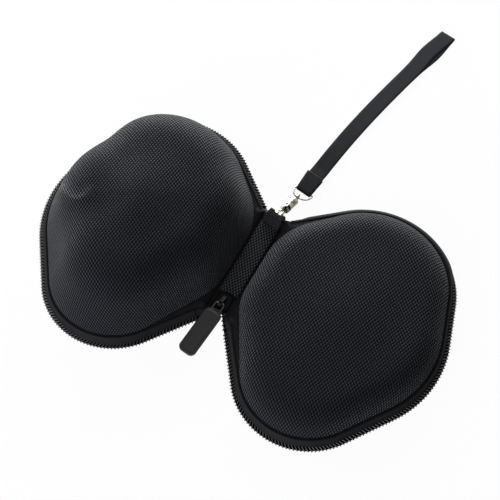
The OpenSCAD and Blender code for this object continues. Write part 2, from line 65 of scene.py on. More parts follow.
class CaseSizes(bpy.types.PropertyGroup):
    """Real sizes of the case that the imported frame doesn't state."""

    weave_cell: bpy.props.FloatProperty(
        name="Weave cell", description="Distance between rows of dots of the woven skin",
        default=1.84 * MM, min=0.5 * MM, max=6 * MM, unit="LENGTH", precision=5)
    tooth_pitch: bpy.props.FloatProperty(
        name="Tooth pitch", description="Distance from coil tooth to coil tooth",
        default=2.3 * MM, min=1 * MM, max=4 * MM, unit="LENGTH", precision=5)
    rib_pitch: bpy.props.FloatProperty(
        name="Rib pitch", description="Distance from rib to rib of the webbing",
        default=1.6 * MM, min=0.4 * MM, max=3 * MM, unit="LENGTH", precision=5)


class CaseColours(bpy.types.PropertyGroup):
    """sRGB colours of the finishes."""

    cloth_high: bpy.props.StringProperty(
        name="Cloth, raised", description="Raised threads of the woven skin", default="#1a1e26")
    # painted light: the strip's raised threads are lighter than the shells' to make up for the shade between
    # the shells
    strip_high_lightened: bpy.props.StringProperty(
        name="Strip, raised", description="Raised threads of the spine strip", default="#3b3d42")
    # painted shade: the gaps between the threads are coloured near black for the shade in them
    cloth_gap_shade: bpy.props.StringProperty(
        name="Cloth, sunk", description="Gaps between the threads of the woven skin", default="#010102")
    tape: bpy.props.StringProperty(
        name="Zipper tape", description="Smooth tape round the rims", default="#1b1b1d")
    coil: bpy.props.StringProperty(
        name="Coil", description="Nylon coil teeth", default="#3a3b3e")
    cord: bpy.props.StringProperty(
        name="Coil cord", description="Cord that fills the coil", default="#030303")
    webbing: bpy.props.StringProperty(
        name="Webbing", description="Strap and hang loop", default="#25262b")
    lining: bpy.props.StringProperty(
        name="Lining", description="Fleece inside the shells", default="#232428")
    rubber: bpy.props.StringProperty(
        name="Rubber", description="Moulded pull tab", default="#141416")
    enamel: bpy.props.StringProperty(
        name="Black enamel", description="Slider and link", default="#040405")
    nickel: bpy.props.StringProperty(
        name="Nickel", description="Hook, swivel and ring", default="#a8a296")
    floor: bpy.props.StringProperty(
        name="Floor", description="Table under the case", default="#fbfbfb")


def sizes():
    """The sizes as the panel has them."""
    return bpy.context.scene.case_sizes


def colours():
    """The colours as the panel has them."""
    return bpy.context.scene.case_colours


def linear(text, share=1.0):
    """An sRGB hex colour as linear red, green and blue, each times a share, with an alpha of 1."""
    c = np.array([int(text[i:i + 2], 16) for i in (1, 3, 5)]) / 255.0
    c = share * np.where(c <= 0.04045, c / 12.92, ((c + 0.055) / 1.055) ** 2.4)
    return (*[float(v) for v in c], 1.0)


# Paths and curves


def wrapped(degrees):
    """Angles brought between -180 and 180 degrees."""
    return (degrees + 180.0) % 360.0 - 180.0


def unit(v):
    """Vectors scaled to a length of one."""
    return v / np.maximum(np.linalg.norm(v, axis=-1, keepdims=True), 1e-12)


def smooth_rise(t):
    """A rise from 0 to 1 while t goes from 0 to 1, level at both ends: three squares less two cubes."""
    t = np.clip(t, 0.0, 1.0)
    return t * t * (3 - 2 * t)


def lengths_along(path):
    """Length along a path at each of its points: the sum of the steps so far."""
    return np.concatenate([[0.0], np.cumsum(np.linalg.norm(np.diff(path, axis=0), axis=1))])


def at_lengths(path, walk):
    """Points of a flat path at lengths walk along it."""
    s = lengths_along(path)
    return np.stack([np.interp(walk, s, path[:, i]) for i in (0, 1)], -1)


def rotation(axis, angle):
    """Right-handed turn about one axis, as a matrix for columns."""
    c, s = np.cos(angle), np.sin(angle)
    return {"X": np.array([[1, 0, 0], [0, c, -s], [0, s, c]]),
            "Z": np.array([[c, -s, 0], [s, c, 0], [0, 0, 1]])}[axis]


def turned(points, degrees, at):
    """Points turned clockwise about the upright and moved, from a piece's own frame into the case's."""
    return points @ rotation("Z", np.radians(-degrees)).T + np.asarray(at, float)


# Outlines, in millimetres, as the solids have them


# Inset of the shell's foot from the rim, and the foot's height
SKIRT, FOOT_Z = 5.8, 7.3
# Distance from the spine's middle to each fold line, and to the ends of tapes and teeth
FOLD_X, TAPE_END_X = 7.5, 8.5
# Point that the rings of a shell are drawn in toward
MIDDLE = np.array([72.0, 0.0])
# Arcs as (x, y, radius): the corners away from the fold, the whole rim and the whole foot
CORNERS = [(71.0, -41.0, 50.0), (73.0, 0.0, 72.0), (76.0, 31.0, 60.0)]
RIM_ARCS = np.array([(20.5, -24.0, 19.5), *CORNERS, (20.0, 38.0, 19.0)])
FOOT_ARCS = np.array([
    (FOLD_X + 40.0, -8.0, 40.0), *[(x, y, r - SKIRT) for x, y, r in CORNERS], (FOLD_X + 48.0, 20.0, 48.0)])


class Band:
    """The taut band round a row of arcs, walked by length: arcs and straights take turns.

    A closed band ends with the straight along the fold.
    """

    def __init__(self, arcs, closed=False):
        step = np.diff(arcs[:, :2], axis=0)
        gap = np.hypot(step[:, 0], step[:, 1])
        drop = arcs[:-1, 2] - arcs[1:, 2]
        leave = wrapped(np.degrees(np.arctan2(step[:, 1], step[:, 0]) - np.arccos(drop / gap)))
        self.arcs = arcs
        self.turns = np.radians(np.concatenate([[-180.0], leave, [180.0]]))
        lengths = np.zeros(2 * len(arcs))
        lengths[0::2] = arcs[:, 2] * np.diff(self.turns)
        lengths[1::2] = np.append(np.sqrt(gap ** 2 - drop ** 2), arcs[-1, 1] - arcs[0, 1])
        lengths = lengths if closed else lengths[:-1]
        self.marks = np.concatenate([[0.0], np.cumsum(lengths)])

    @property
    def length(self):
        """Length of the whole band."""
        return float(self.marks[-1])

    def at(self, s, inset=0.0):
        """Points at lengths s, moved inward by inset, and the outward directions there."""
        s = np.asarray(s, float)
        k = np.clip(np.searchsorted(self.marks, s, side="right") - 1, 0, len(self.marks) - 2)
        i, bent = k // 2, k % 2 == 0
        arc, u = self.arcs[i], s - self.marks[k]
        t = np.where(bent, self.turns[i] + u / arc[..., 2], self.turns[i + 1])
        out = np.stack([np.cos(t), np.sin(t)], -1)
        along = np.where(bent, 0.0, u)[..., None] * np.stack([-np.sin(t), np.cos(t)], -1)
        return arc[..., :2] + (arc[..., 2] - inset)[..., None] * out + along, out


RIM = Band(RIM_ARCS)
FOOT = Band(FOOT_ARCS, closed=True)


def row_ends():
    """Lengths along the rim between which it is further from the fold than the ends of the tape."""
    s = np.linspace(0.0, RIM.length, 4001)
    inside = s[RIM.at(s)[0][:, 0] >= TAPE_END_X]
    return inside[0], inside[-1]


# Forms of the two shells


# Height, lean, shoulder radius, reach, crown, and dips and slopes as (direction, spread, share): a dip lowers
# the shell in its direction, and a slope makes its wall lean further
DEEP = dict(height=49.0, lean=19.0, shoulder=25.0, reach=66.0, crown=4.0,
            dips=((38.0, 11.3, 0.21), (-41.0, 13.4, 0.09)), slopes=((-55.0, 38.0, 0.13),))
SHALLOW = dict(height=23.0, lean=29.0, shoulder=16.0, reach=72.0, crown=2.5,
               dips=((50.0, 40.0, 0.16),), slopes=())
# How far the cloth curls in at the foot, and over which height
CURL_IN, CURL_HEIGHT = 0.75, 1.1
# Soft crease below the deep shell's front lobe: the four control points of a cubic curve in plan
CREASE = np.array([(104.0, -8.0), (104.5, -24.0), (112.0, -25.0), (133.5, -8.0)])
# The step beside the crease: its height, half its width, and the distance over which it levels off
STEP_HEIGHT, STEP_HALF, STEP_LEVEL = 1.0, 2.6, 9.0
# Width of the painted highlight on the crease's far and near side, and how much more it lightens the cloth
HIGHLIGHT_FAR, HIGHLIGHT_NEAR, HIGHLIGHT_LIT = 4.5, 1.0, 1.6


def shell_surface(form, depth, around, wall=16, shoulder=24, top=30):
    """A formed shell, depth under its outside.

    Each ring is the foot outline drawn in toward the middle. Its inset and height follow a leaning wall, a
    round shoulder and a crowned top, smoothed by a bell curve; the outside curls in at the foot. Each dip
    lowers the height in one direction by a bell curve of even width, which grows with the square of the
    distance from the middle. Each slope draws the rings further in by a bell curve of direction that grows
    with the height. Returns points (ring, around, 3) and cloth coordinates laid out from the apex by length
    along the meridian, so that the weave isn't stretched on the walls.
    """
    lean, r = np.radians(form["lean"]), form["shoulder"]
    climb = (form["height"] - r - FOOT_Z + r * np.sin(lean)) / np.cos(lean)
    centre = climb * np.sin(lean) + r * np.cos(lean)
    start = depth / np.cos(lean)
    turn = np.linspace(lean, np.pi / 2, shoulder)
    inset = centre - (r - depth) * np.cos(turn) - start
    height = form["height"] - r + (r - depth) * np.sin(turn)
    # the wall's rings lie closer together toward the foot
    rise = np.linspace(0.0, 1.0, wall, endpoint=False) ** 1.7
    height = np.concatenate([FOOT_Z + rise * (height[0] - FOOT_Z), height])
    curl = 0.0 if depth else CURL_IN * np.exp(-((height - FOOT_Z) / CURL_HEIGHT) ** 2)
    share = 1.0 - (np.concatenate([rise * inset[0], inset]) + curl) / form["reach"]
    inward = np.linspace(1.0, 0.0, top + 1)[1:]
    share = np.concatenate([share, share[-1] * inward])
    height = np.concatenate([height, form["height"] - depth + form["crown"] * (1.0 - inward ** 2) ** 2])
    share, height = softened(share, height, form["reach"])

    foot, _ = FOOT.at(FOOT.length * np.arange(around) / around, start)
    way = foot - MIDDLE
    angle = np.degrees(np.arctan2(way[:, 1], way[:, 0]))
    climbed = np.clip((height - FOOT_Z) / (form["height"] - FOOT_Z), 0.0, 1.0)[:, None]
    dip, slope = np.zeros((2, len(share), around))
    for direction, spread, amount in form["dips"]:
        dip += amount * np.exp(-(wrapped(angle - direction) * share[:, None] / spread) ** 2)
    for direction, spread, amount in form["slopes"]:
        slope += amount * climbed * np.exp(-(wrapped(angle - direction) / spread) ** 2)
    plan = MIDDLE + way[None] * (share[:, None] * (1.0 - slope))[..., None]
    z = FOOT_Z + (height[:, None] - FOOT_Z) * (1.0 - dip * share[:, None] ** 2)
    if form is DEEP and not depth:
        z = z + creased(plan)
    points = np.concatenate([plan, z[..., None]], -1)
    steps = np.linalg.norm(np.diff(points[::-1], axis=0), axis=-1)
    walked = np.concatenate([np.zeros((1, around)), np.cumsum(steps, 0)])[::-1]
    return points, walked[..., None] * unit(way)[None]


def softened(share, height, reach, spread=4.5):
    """A profile with its bends eased: each point becomes the mean of its neighbours along the profile,
    weighted by a bell curve. The profile is mirrored at the apex, and the bell narrows to nothing toward
    the foot."""
    profile = np.stack([share * reach, height], -1)
    whole = np.concatenate([profile, profile[-2::-1] * (-1, 1)])
    s = lengths_along(whole)
    even = np.linspace(0.0, s[-1], 1600)
    here = s[:len(profile), None]
    bell = np.exp(-0.5 * ((even[None] - here) / np.clip(here / 3.0, 0.05, spread)) ** 2)
    eased = bell @ at_lengths(whole, even) / bell.sum(1, keepdims=True)
    eased[0] = profile[0]
    return np.append(eased[:-1, 0] / reach, 0.0), eased[:, 1]


def beside_crease(plan):
    """Distance of points in plan from the crease, positive on its near side, and a share that fades out at
    both ends of the crease."""
    along = np.linspace(0.0, 1.0, 80)
    back = 1.0 - along
    line = np.stack([back ** 3, 3 * back ** 2 * along, 3 * back * along ** 2, along ** 3], -1) @ CREASE
    gap = np.linalg.norm(plan[..., None, :] - line, axis=-1)
    fade = np.sin(np.pi * along[gap.argmin(-1)]) ** 0.6
    near = plan[..., 1] < np.interp(plan[..., 0], line[:, 0], line[:, 1])
    return gap.min(-1) * np.where(near, 1.0, -1.0), fade


def creased(plan):
    """Height added beside the front lobe at points in plan: a low step up on the near side of the crease,
    which levels off by a bell curve."""
    gap, fade = beside_crease(plan)
    level = np.exp(-(np.clip(gap, 0.0, None) / STEP_LEVEL) ** 2)
    return STEP_HEIGHT * fade * smooth_rise((gap + STEP_HALF) / (2 * STEP_HALF)) * level


def painted_highlight(plan):
    """Painted highlight beside the crease at points in plan: a bell curve, wide on the crease's far side."""
    gap, fade = beside_crease(plan)
    return fade * np.exp(-(gap / np.where(gap < 0.0, HIGHLIGHT_FAR, HIGHLIGHT_NEAR)) ** 2)


# Meshes


def grid_faces(rows, columns, wrap_rows=False, wrap_columns=False, first=0):
    """Quads of a grid of points that is stored row by row."""
    r = np.arange(rows if wrap_rows else rows - 1)
    c = np.arange(columns if wrap_columns else columns - 1)
    r, c = np.meshgrid(r, c, indexing="ij")
    r2, c2 = (r + 1) % rows, (c + 1) % columns
    quads = np.stack([r * columns + c, r * columns + c2, r2 * columns + c2, r2 * columns + c], -1)
    return quads.reshape(-1, 4) + first


def make_piece(name, points, faces, uv=None, flip=False, lit=None):
    """A mesh object from points in millimetres, faces as one array or several, one uv pair per point, and the
    painted light at each point: painted shade in the folds of the cloth and painted highlights."""
    faces = faces if isinstance(faces, list) else [faces]
    loops = [f[:, ::-1] if flip else f for f in faces]
    places = np.asarray(points).reshape(-1, 3) * MM
    mesh = bpy.data.meshes.new(name)
    mesh.from_pydata(places.tolist(), [], [q for f in loops for q in f.tolist()])
    if uv is not None:
        layer = mesh.uv_layers.new(name="cloth")
        index = np.empty(len(mesh.loops), np.int32)
        mesh.loops.foreach_get("vertex_index", index)
        layer.data.foreach_set("uv", np.asarray(uv, np.float32).reshape(-1, 2)[index].ravel() * MM)
    mesh.polygons.foreach_set("use_smooth", np.ones(len(mesh.polygons), bool))
    mesh.validate()
    mesh.update()
    if lit is not None:
        layer = mesh.attributes.new("lit", "FLOAT", "POINT")
        layer.data.foreach_set("value", np.asarray(lit, np.float32).ravel())
    piece = bpy.data.objects.new(name, mesh)
    bpy.context.scene.collection.objects.link(piece)
    return piece


def dress(piece, material, body, nodes=()):
    """Gives a piece its finish, the body that it moves with and the solids that it stands for."""
    piece.data.materials.append(finish(material))
    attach(piece, body)
    if nodes:
        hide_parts(*nodes)
    return piece


def bend_at_fold(piece, material):
    """Gives a piece its finish and bakes its place into its points."""
    piece.data.materials.append(finish(material))
    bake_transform(piece)


def paint(names, material):
    """Gives CAD solids that keep their shape a better finish."""
    for name in names:
        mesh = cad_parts[name].data
        mesh.materials.clear()
        mesh.materials.append(finish(material))


def merge(piece, distance=0.01):
    """Joins points closer than distance in millimetres, such as a pole's."""
    mesh = bmesh.new()
    mesh.from_mesh(piece.data)
    bmesh.ops.remove_doubles(mesh, verts=mesh.verts, dist=distance * MM)
    mesh.to_mesh(piece.data)
    mesh.free()
    piece.data.update()


def sided(points, side):
    """Points mirrored to the deep half where side is -1."""
    out = np.array(points, float)
    out[..., 0] *= side
    return out


def ribbon(path, width, thick):
    """Flat webbing along a path: a rectangle with rounded edges, wide along x, carried along the path.

    Returns points (row, ring, 3) and uv (across, along), both in millimetres.
    """
    path = np.asarray(path, float)
    across = np.broadcast_to((1.0, 0.0, 0.0), path.shape)
    up = unit(np.cross(across, np.gradient(path, axis=0)))
    half, r = np.broadcast_to(width, len(path))[:, None] / 2, thick / 2
    bend = np.linspace(0.0, np.pi, 5)[1:-1]
    flat = np.linspace(-1.0, 1.0, 9)
    level = np.full(len(flat), r)
    x = np.concatenate([(half - r) * flat, half - r + r * np.sin(bend), (r - half) * flat,
                        r - half - r * np.sin(bend)], 1)
    z = np.concatenate([level, r * np.cos(bend), -level, -r * np.cos(bend)])
    points = path[:, None] + across[:, None] * x[..., None] + up[:, None] * z[None, :, None]
    return points, np.stack(np.broadcast_arrays(x, lengths_along(path)[:, None]), -1)


def bend_path(points, radius, step):
    """A path (y, z) through points with each inner corner rounded by a quadratic curve, resampled at even
    steps."""
    points = np.asarray(points, float)
    a, b, c = points[:-2], points[1:-1], points[2:]
    u, v = unit(a - b), unit(c - b)
    half = np.arccos(np.clip((u * v).sum(1), -1, 1)) / 2
    # neighbouring corners leave a little of the straight between them
    room = 0.48 * np.minimum(np.linalg.norm(a - b, axis=1), np.linalg.norm(c - b, axis=1))
    cut = np.minimum(radius / np.tan(half), room)[:, None]
    t = np.linspace(0.0, 1.0, 12)[None, :, None]
    p, q = (b + u * cut)[:, None], (b + v * cut)[:, None]
    corners = (1 - t) ** 2 * p + 2 * t * (1 - t) * b[:, None] + t ** 2 * q
    path = np.concatenate([points[:1], corners.reshape(-1, 2), points[-1:]])
    length = lengths_along(path)[-1]
    return at_lengths(path, np.linspace(0.0, length, int(length / step) + 2))


def swept_piece(name, grids, flip=False, lit=None):
    """One mesh from swept grids (points, uv): each is closed round its ring and at both ends."""
    points, uvs, faces, first = [], [], [], 0
    for grid, uv in grids:
        rows, columns = grid.shape[:2]
        ring = np.arange(columns)[None] + first
        faces += [grid_faces(rows, columns, wrap_columns=True, first=first), ring[:, ::-1],
                  ring + (rows - 1) * columns]
        points.append(grid.reshape(-1, 3))
        uvs.append(uv.reshape(-1, 2))
        first += rows * columns
    return make_piece(name, np.concatenate(points), faces, np.concatenate(uvs), flip, lit)


# Materials


def node(tree, kind, links=(), **settings):
    """Adds one node with its settings; links are (input, value or socket)."""
    made = tree.nodes.new(kind)
    for key, value in settings.items():
        setattr(made, key, value)
    for key, value in links:
        if isinstance(value, bpy.types.NodeSocket):
            tree.links.new(value, made.inputs[key])
        else:
            made.inputs[key].default_value = value
    return made


def new_material(name):
    """An empty node material and its tree."""
    material = bpy.data.materials.new(name)
    material.use_nodes = True
    material.node_tree.nodes.clear()
    return material, material.node_tree


def end_material(tree, links):
    """Closes a material with one shader that has the given inputs, and its output."""
    shader = node(tree, "ShaderNodeBsdfPrincipled", links)
    node(tree, "ShaderNodeOutputMaterial", [("Surface", shader.outputs["BSDF"])])


def ballistic_cloth(name, cell, high, low):
    """Heavy nylon in basket weave, laminated on foam: raised dots of doubled threads with painted shade in
    the gaps between them, a dull thread sheen and slow shifts of tone."""
    material, tree = new_material(name)
    uv = node(tree, "ShaderNodeUVMap", uv_map="cloth")
    waves = []
    # the two rows of dots lie 34 degrees either side of the first axis
    for turn in np.radians((34.0, -34.0)):
        way = 2 * np.pi / cell * np.array([np.cos(turn), np.sin(turn), 0.0])
        phase = node(tree, "ShaderNodeVectorMath", [(0, uv.outputs[0]), (1, way)], operation="DOT_PRODUCT")
        waves.append(node(tree, "ShaderNodeMath", [(0, phase.outputs["Value"])], operation="COSINE"))
    weave = node(tree, "ShaderNodeMath", [(0, waves[0].outputs[0]), (1, waves[1].outputs[0])],
                 operation="ADD")
    # the two waves add up to between -2 and 2: gaps lie below -1.1, and dots are whole from 1.7 on
    raised = node(tree, "ShaderNodeMapRange", [(0, weave.outputs[0]), (1, -1.1), (2, 1.7)],
                  interpolation_type="SMOOTHSTEP")
    # the tone shifts by up to 18 hundredths over patches of 35 mm
    coords = node(tree, "ShaderNodeTexCoord")
    patches = node(tree, "ShaderNodeTexNoise", [("Vector", coords.outputs["Object"]),
                                                ("Scale", 1 / (35 * MM)), ("Detail", 3.0)])
    tone = node(tree, "ShaderNodeMapRange", [(0, patches.outputs[0]), (1, 0.3), (2, 0.7), (3, 0.82),
                                             (4, 1.0)])
    toned = node(tree, "ShaderNodeMath", [(0, raised.outputs[0]), (1, tone.outputs[0])],
                 operation="MULTIPLY")
    # the piece's painted shade and painted highlights scale the share of the raised colour
    lit = node(tree, "ShaderNodeAttribute", attribute_name="lit")
    share = node(tree, "ShaderNodeMath", [(0, toned.outputs[0]), (1, lit.outputs["Fac"])],
                 operation="MULTIPLY")
    colour = node(tree, "ShaderNodeMix", [(0, share.outputs[0]), (6, linear(low)), (7, linear(high))],
                  data_type="RGBA")
    nap = node(tree, "ShaderNodeMath", [(0, share.outputs[0]), (1, 0.3)], operation="MULTIPLY")
    rough = node(tree, "ShaderNodeMapRange", [(0, raised.outputs[0]), (3, 0.85), (4, 0.5)])
    # the gaps are 0.45 mm deep
    bump = node(tree, "ShaderNodeBump", [("Height", raised.outputs[0]), ("Strength", 1.0),
                                         ("Distance", 0.45 * MM)])
    end_material(tree, [
        ("Base Color", colour.outputs[2]), ("Roughness", rough.outputs[0]), ("Normal", bump.outputs[0]),
        ("Sheen Weight", nap.outputs[0]), ("Sheen Roughness", 0.5), ("Sheen Tint", linear("#eceff6")),
        ("Specular IOR Level", 0.06)])
    return material


def ribbed_webbing(name, pitch, base):
    """Narrow polyester webbing: crosswise ribs of packed weft, fine lengthwise warp and a dull surface."""
    material, tree = new_material(name)
    uv = node(tree, "ShaderNodeUVMap", uv_map="cloth")
    axes = node(tree, "ShaderNodeSeparateXYZ", [(0, uv.outputs[0])])
    # the warp yarns lie closer together than the ribs and stand 0.15 as high
    waves = []
    for axis, gap in ((1, pitch), (0, 0.7 * pitch)):
        phase = node(tree, "ShaderNodeMath", [(0, axes.outputs[axis]), (1, 2 * np.pi / gap)],
                     operation="MULTIPLY")
        waves.append(node(tree, "ShaderNodeMath", [(0, phase.outputs[0])], operation="SINE"))
    rib, yarn = waves
    both = node(tree, "ShaderNodeMath", [(0, yarn.outputs[0]), (1, 0.15), (2, rib.outputs[0])],
                operation="MULTIPLY_ADD")
    raised = node(tree, "ShaderNodeMapRange", [(0, both.outputs[0]), (1, -1.1), (2, 1.1)])
    # painted shade between the ribs and painted highlight on top of them
    colour = node(tree, "ShaderNodeMix", [(0, raised.outputs[0]), (6, linear(base, 0.08)),
                                          (7, linear(base, 2.2))], data_type="RGBA")
    # the webbing is darker by half up to 20 mm from a sewn end, and at its full colour from 80 mm on
    from_end = node(tree, "ShaderNodeMapRange", [(0, axes.outputs[1]), (1, 20 * MM), (2, 80 * MM), (3, 0.5),
                                              (4, 1.0)])
    colour = node(tree, "ShaderNodeMix", [(0, from_end.outputs[0]), (6, (0, 0, 0, 1)), (7, colour.outputs[2])],
                  data_type="RGBA")
    bump = node(tree, "ShaderNodeBump", [("Height", raised.outputs[0]), ("Strength", 0.5),
                                         ("Distance", 0.2 * MM)])
    end_material(tree, [
        ("Base Color", colour.outputs[2]), ("Normal", bump.outputs[0]), ("Roughness", 0.8),
        ("Sheen Weight", 0.1), ("Specular IOR Level", 0.08)])
    return material


def plain_finish(name, base, roughness, metallic=0.0, grain=0.4, depth=0.03, gloss=0.5, fade=0.8, patch=6.0):
    """A plain moulded, cast, plated or knitted surface: grain in mm gives a fine bump of the given depth in
    mm, and in patches of patch mm the roughness wanders and the colour falls to its share fade; on plated
    metal these darker patches are painted reflection."""
    wander = 0.08
    material, tree = new_material(name)
    coords = node(tree, "ShaderNodeTexCoord")
    fine, slow = [
        node(tree, "ShaderNodeTexNoise", [("Vector", coords.outputs["Object"]), ("Scale", 1 / (size * MM)),
                                          ("Detail", 2.0)]) for size in (grain, patch)]
    rough = node(tree, "ShaderNodeMapRange", [(0, slow.outputs[0]), (1, 0.3), (2, 0.7),
                                              (3, max(roughness - wander, 0.02)), (4, roughness + wander)])
    shift = node(tree, "ShaderNodeMapRange", [(0, slow.outputs[0]), (1, 0.35), (2, 0.65)])
    colour = node(tree, "ShaderNodeMix", [(0, shift.outputs[0]), (6, linear(base, fade)), (7, linear(base))],
                  data_type="RGBA")
    bump = node(tree, "ShaderNodeBump", [("Height", fine.outputs[0]), ("Strength", 0.5),
                                         ("Distance", depth * MM)])
    end_material(tree, [
        ("Base Color", colour.outputs[2]), ("Roughness", rough.outputs[0]), ("Normal", bump.outputs[0]),
        ("Metallic", metallic), ("Specular IOR Level", gloss)])
    return material


def finish(name):
    """The material of that name, made on first use."""
    if name in bpy.data.materials:
        return bpy.data.materials[name]
    c, s = colours(), sizes()
    if name == "Ballistic nylon":
        return ballistic_cloth(name, s.weave_cell, c.cloth_high, c.cloth_gap_shade)
    # a copy of the woven skin painted lighter for the shade that the strip lies in
    if name == "Strip nylon lightened for shade":
        return ballistic_cloth(name, s.weave_cell, c.strip_high_lightened, c.cloth_gap_shade)
    if name == "Ribbed webbing":
        return ribbed_webbing(name, s.rib_pitch, c.webbing)
    plain = {
        # knitted tape with a smooth coating: low even gloss
        "Coated zipper tape": dict(base=c.tape, roughness=0.55, grain=0.7, depth=0.05, gloss=0.03),
        # drawn nylon monofilament: smooth, soft highlights
        "Nylon coil": dict(base=c.coil, roughness=0.35, grain=0.8, depth=0.02, gloss=0.35),
        # knitted cord inside the coil: dull and dark
        "Coil cord": dict(base=c.cord, roughness=0.9, grain=0.6, depth=0.1, gloss=0.03),
        # brushed fleece: no gloss, soft nap
        "Fleece lining": dict(base=c.lining, roughness=0.95, grain=1.2, depth=0.3, gloss=0.1),
        # moulded rubber with a spark-eroded skin: fine grain, soft gloss
        "Moulded rubber": dict(base=c.rubber, roughness=0.6, grain=0.35, depth=0.03, gloss=0.3),
        # zinc casting under a dull black coat: hardly any gloss
        "Matte black zinc": dict(base=c.enamel, roughness=0.5, grain=0.5, depth=0.02, gloss=0.06),
        # zinc casting under gloss black enamel: sharp small highlights
        "Black enamelled zinc": dict(base=c.enamel, roughness=0.12, grain=1.5, depth=0.01, gloss=0.5),
        # bright nickel plate on a tumbled casting: darker patches of painted reflection, and roughness that
        # wanders
        "Nickel plate": dict(base=c.nickel, roughness=0.32, metallic=1.0, grain=1.2, depth=0.015, fade=0.3,
                             patch=2.5),
    }
    return plain_finish(name, **plain[name])


# Shells


# Depth of the woven skin, and of the whole wall with foam and lining
SKIN, WALL = 0.9, 4.5
# Height of the painted shade in the groove at the foot, and the height over which it lightens
FOOT_SHADE, FOOT_SHADE_FADE = 0.7, 1.5


class CASE_OT_shells(bpy.types.Operator):
    """Woven outside and fleece inside of both shells"""

    bl_idname = "case.shells"
    bl_label = "Shells"

    def execute(self, context):
        # the cloth of the two halves is cut 25 and 14 degrees off the fold
        for half, form, side, cut in (("deep", DEEP, -1, 25.0), ("shallow", SHALLOW, 1, 14.0)):
            weave = rotation("Z", np.radians(cut))[:2, :2]
            for part, outer, inner, around, material, slot, nodes in (
                ("cover", 0.0, SKIN, 480, "Ballistic nylon", "ballistic_cloth", ("skin",)),
                ("inside", SKIN, WALL, 180, "Fleece lining", "fleece", ("foam", "lining")),
            ):
                a, ua = shell_surface(form, outer, around)
                b, ub = shell_surface(form, inner, around)
                rows, columns = a.shape[:2]
                points = np.concatenate([a.reshape(-1, 3), b.reshape(-1, 3)])
                uv = np.concatenate([ua.reshape(-1, 2), ub.reshape(-1, 2)]) * (side, 1) @ weave
                count = rows * columns
                lip = np.arange(columns)
                lip = np.stack([lip, lip + count, (lip + 1) % columns + count, (lip + 1) % columns], -1)
                faces = [grid_faces(rows, columns, wrap_columns=True),
                         grid_faces(rows, columns, wrap_columns=True, first=count)[:, ::-1], lip]
                # painted shade darkens the groove at the foot, and a painted highlight lightens the cloth
                # beside the crease
                lit = np.clip((points[:, 2] - FOOT_Z - FOOT_SHADE) / FOOT_SHADE_FADE, 0.0, 1.0)
                if (half, part) == ("deep", "cover"):
                    lit = lit * (1.0 + HIGHLIGHT_LIT * painted_highlight(points[:, :2]))
                piece = make_piece(f"{half}_{part}", sided(points, side), faces, uv, side < 0, lit)
                merge(piece)
                dress(piece, material, f"{half}_half", [f"{half}_{n}" for n in nodes])
        return {"FINISHED"}


# Rims, with sections as points (inset from the rim's outline, height above the table)


TAPE_SECTION = np.array([
    (3.1, 0.1), (3.7, 0.0), (4.1, 0.5), (4.9, 3.4), (5.9, 5.9), (6.2, 6.5), (6.3, 7.2), (5.6, 7.6),
    (4.85, 7.1), (4.3, 5.9), (4.15, 4.5), (3.7, 3.2), (2.95, 2.0)])
# How the tape's section shifts where it lies over the coil
TAPE_FLAP = np.array([
    (-1.9, 0.3), (-0.6, 0.2), (0.0, 0.0), (0.0, 0.0), (0.0, 0.0), (0.0, 0.0), (0.0, 0.0), (0.0, 0.0),
    (-0.2, 0.3), (-0.95, 0.6), (-1.65, 0.65), (-2.05, 0.05), (-2.45, -0.1)])
# The flat strip that the tape's ends turn into
CHAIN_SECTION = np.array([
    (1.6, 5.2), (2.4, 5.15), (3.2, 5.15), (4.2, 5.15), (5.0, 5.2), (5.15, 5.6), (5.0, 6.0), (4.4, 6.05),
    (3.8, 6.05), (3.2, 6.05), (2.4, 6.05), (1.8, 6.0), (1.6, 5.7)])
# The cord under the teeth, and which of its points the inset of its outer edge moves
CORE_SECTION = np.array([(0.0, 0.45), (3.4, 0.45), (3.4, 1.7), (0.0, 1.05), (-0.25, 0.75)])
CORE_EDGE = np.array([(1.0, 0.0), (0.0, 0.0), (0.0, 0.0), (1.0, 0.0), (1.0, 0.0)])
# That inset, how much more it is at the near end, and the length over which it falls
CORE_INSET, CORE_BACK, CORE_OVER = 0.95, 0.2, 70.0
# The binding, as (share of the way from the tape's inside to its own inner edge, height)
BINDING_SECTION = np.array([
    (0.0, 6.25), (0.5, 6.2), (1.0, 6.3), (1.03, 6.75), (1.0, 7.2), (0.5, 7.3), (0.0, 7.25)])
# Inset of that inner edge from the foot, and the binding's edge along the fold: its place and its ends
BINDING_INSET, BINDING_X, BINDING_NEAR, BINDING_FAR = 5.9, FOLD_X + 0.9, -32.0, 48.0
# Far part of the rim's outward direction at which the flap starts, and over which it grows to its full width
FLAP_FROM, FLAP_OVER = 0.4, 0.35
# Length over which the flap lies back again before the tape's far end
FLAP_END = 12.0
# Rim left over beyond the near and the far end of the tape
NEAR_REST, FAR_REST = 8.6, 10.6
# Height of the teeth where they cross the fold, over their height in the row
CHAIN_LIFT = 4.65
# Half the width and half the height of a tooth, and the power that squares its section
TOOTH_WIDE, TOOTH_HIGH, TOOTH_POWER = 0.52, 0.62, 0.8
# Inset of a tooth's root and how far the root lags along the rim, and the inset of a head under the flap
TOOTH_ROOT, TOOTH_LAG, TOOTH_COVERED = 3.3, 1.9, 0.9
# Least length of a row that has no teeth, both ends together
ROW_MARGIN = 1.0


def covered(s, side):
    """How far the tape lies over the coil at rim lengths s: along the shallow half's far rim only."""
    return smooth_rise((RIM.at(s)[1][:, 1] - FLAP_FROM) / FLAP_OVER) * (side > 0)


def rim_sweep(s, section):
    """Sections (row, point, (inset, height)) carried along the rim at lengths s, with their uv."""
    section = np.broadcast_to(section, (len(s),) + section.shape[-2:])
    at, out = RIM.at(s)
    plan = at[:, None] - out[:, None] * section[..., :1]
    points = np.concatenate([plan, section[..., 1:]], -1)
    return points, np.stack(np.broadcast_arrays(lengths_along(section[0])[None], s[:, None]), -1)


